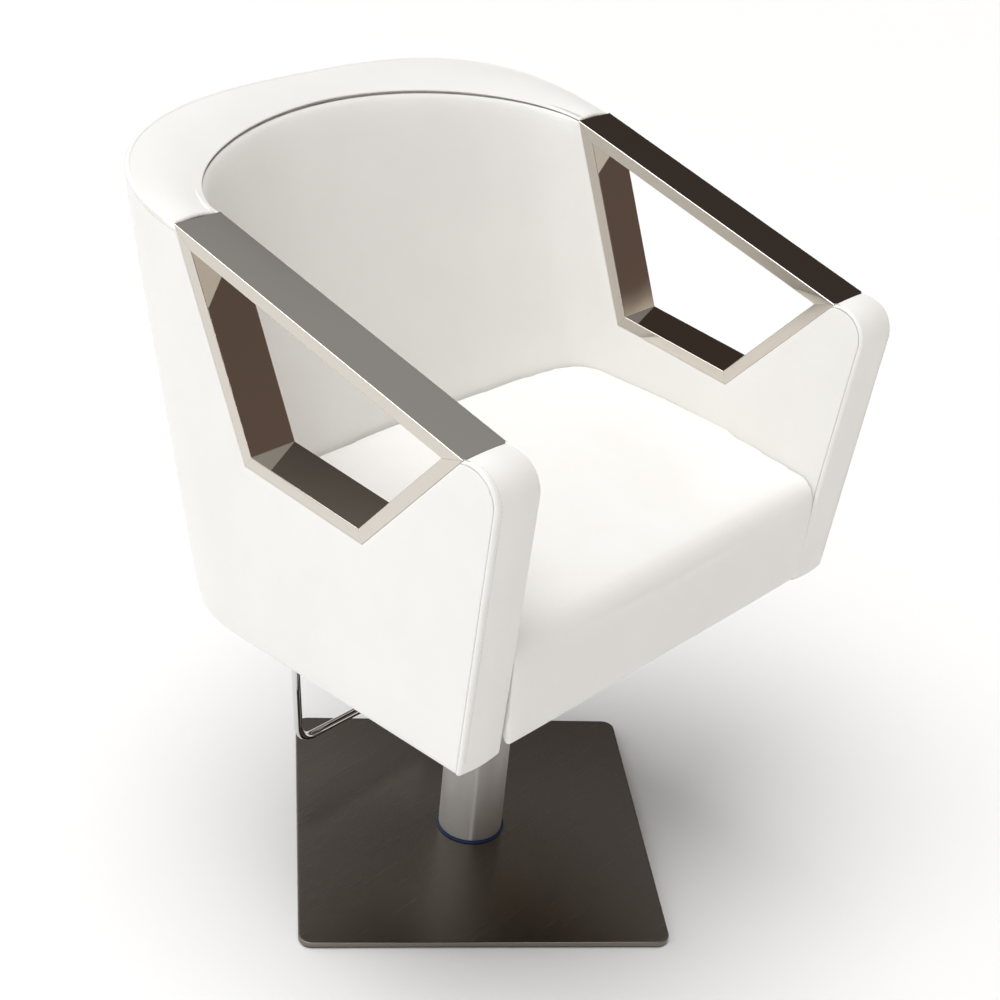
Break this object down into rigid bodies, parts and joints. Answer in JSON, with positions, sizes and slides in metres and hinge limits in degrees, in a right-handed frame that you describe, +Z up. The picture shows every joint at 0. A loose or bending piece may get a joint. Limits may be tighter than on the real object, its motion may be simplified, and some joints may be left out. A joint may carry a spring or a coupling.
{
  "type": "styling chair",
  "caption": "Hydraulic hair salon styling chair: white padded tub seat with open polished steel arm frames on a chrome column, square floor plate and foot lever.",
  "frame": {"origin": "on the column axis at the floor", "axes": "+Z up the column, the sitter faces -Y, +X to the sitter's left"},
  "size_m": [0.6798, 0.6791, 0.885],
  "materials": {
    "black_cloth": "black non-woven cloth",
    "black_paint": "black powder coat",
    "blue_plastic": "dark blue plastic seal",
    "bronze": "sintered bronze",
    "brushed_stainless": "brushed stainless sheet",
    "cast_iron": "black painted casting",
    "chrome": "bright chrome plate",
    "nylon": "nylon",
    "plywood": "birch plywood",
    "polished_stainless": "mirror-polished stainless",
    "rubber": "black rubber",
    "steel": "bare machined steel",
    "white_leatherette": "white coated fabric over foam",
    "zinc": "bright zinc plate"
  },
  "bodies": {
    "base": {"foot_pads": "rubber", "base_plate": "black_paint", "base_plate_cover": "brushed_stainless", "base_bolts": "zinc", "column_plug": "steel", "column_tube": "chrome", "foot_ring": "blue_plastic", "guide_bush": "nylon", "column_wiper": "rubber", "lower_race": "steel", "bearing_balls": "steel"},
    "piston": {"piston_rod": "steel", "upper_race": "steel", "piston_head": "steel", "piston_seal": "rubber", "piston_nut": "zinc"},
    "seat": {"pump_cylinder": "steel", "rod_gland": "bronze", "cylinder_wear_ring": "nylon", "pump_head": "cast_iron", "oil_plug": "zinc", "lever_bushes": "bronze", "seat_mount_plate": "black_paint", "head_screws": "zinc", "seat_washers": "zinc", "seat_bolts": "zinc", "tee_nuts": "zinc", "seat_board": "plywood", "dust_cover": "black_cloth", "shell_core": "plywood", "shell_screws": "zinc", "outer_upholstery": "white_leatherette", "inner_upholstery": "white_leatherette", "top_band": "white_leatherette", "front_strip_left": "white_leatherette", "front_strip_right": "white_leatherette", "arm_frame_left": "polished_stainless", "arm_frame_right": "polished_stainless", "arm_frame_studs": "zinc", "seat_cushion": "white_leatherette"},
    "lever": {"lever_shaft": "steel", "lever_cam": "steel", "lever_hubs": "zinc", "lever_set_screws": "zinc", "lever_rod": "chrome", "lever_spring": "steel"},
    "plunger": {"pump_plunger": "steel"}
  },
  "joints": [
    {"name": "seat_swivel", "type": "hinge", "parent": "base", "child": "piston", "pos_m": [0, 0, 0.03], "axis": [0, 0, 1], "continuous": true},
    {"name": "seat_lift", "type": "slide", "parent": "piston", "child": "seat", "axis": [0, 0, 1], "range_m": [0, 0.13]},
    {"name": "lever_pivot", "type": "hinge", "parent": "seat", "child": "lever", "pos_m": [0, 0.058, 0.357], "axis": [-1, 0, 0], "range_deg": [0, 12], "stiffness_Nm_per_rad": 6, "springref_deg": -28.65},
    {"name": "plunger_stroke", "type": "slide", "parent": "seat", "child": "plunger", "axis": [0, 0, 1], "range_m": [0, 0.0065]}
  ],
  "couplings": [
    {"joint": "plunger_stroke", "follows": "lever_pivot", "m_per_rad": 0.0278}
  ]
}
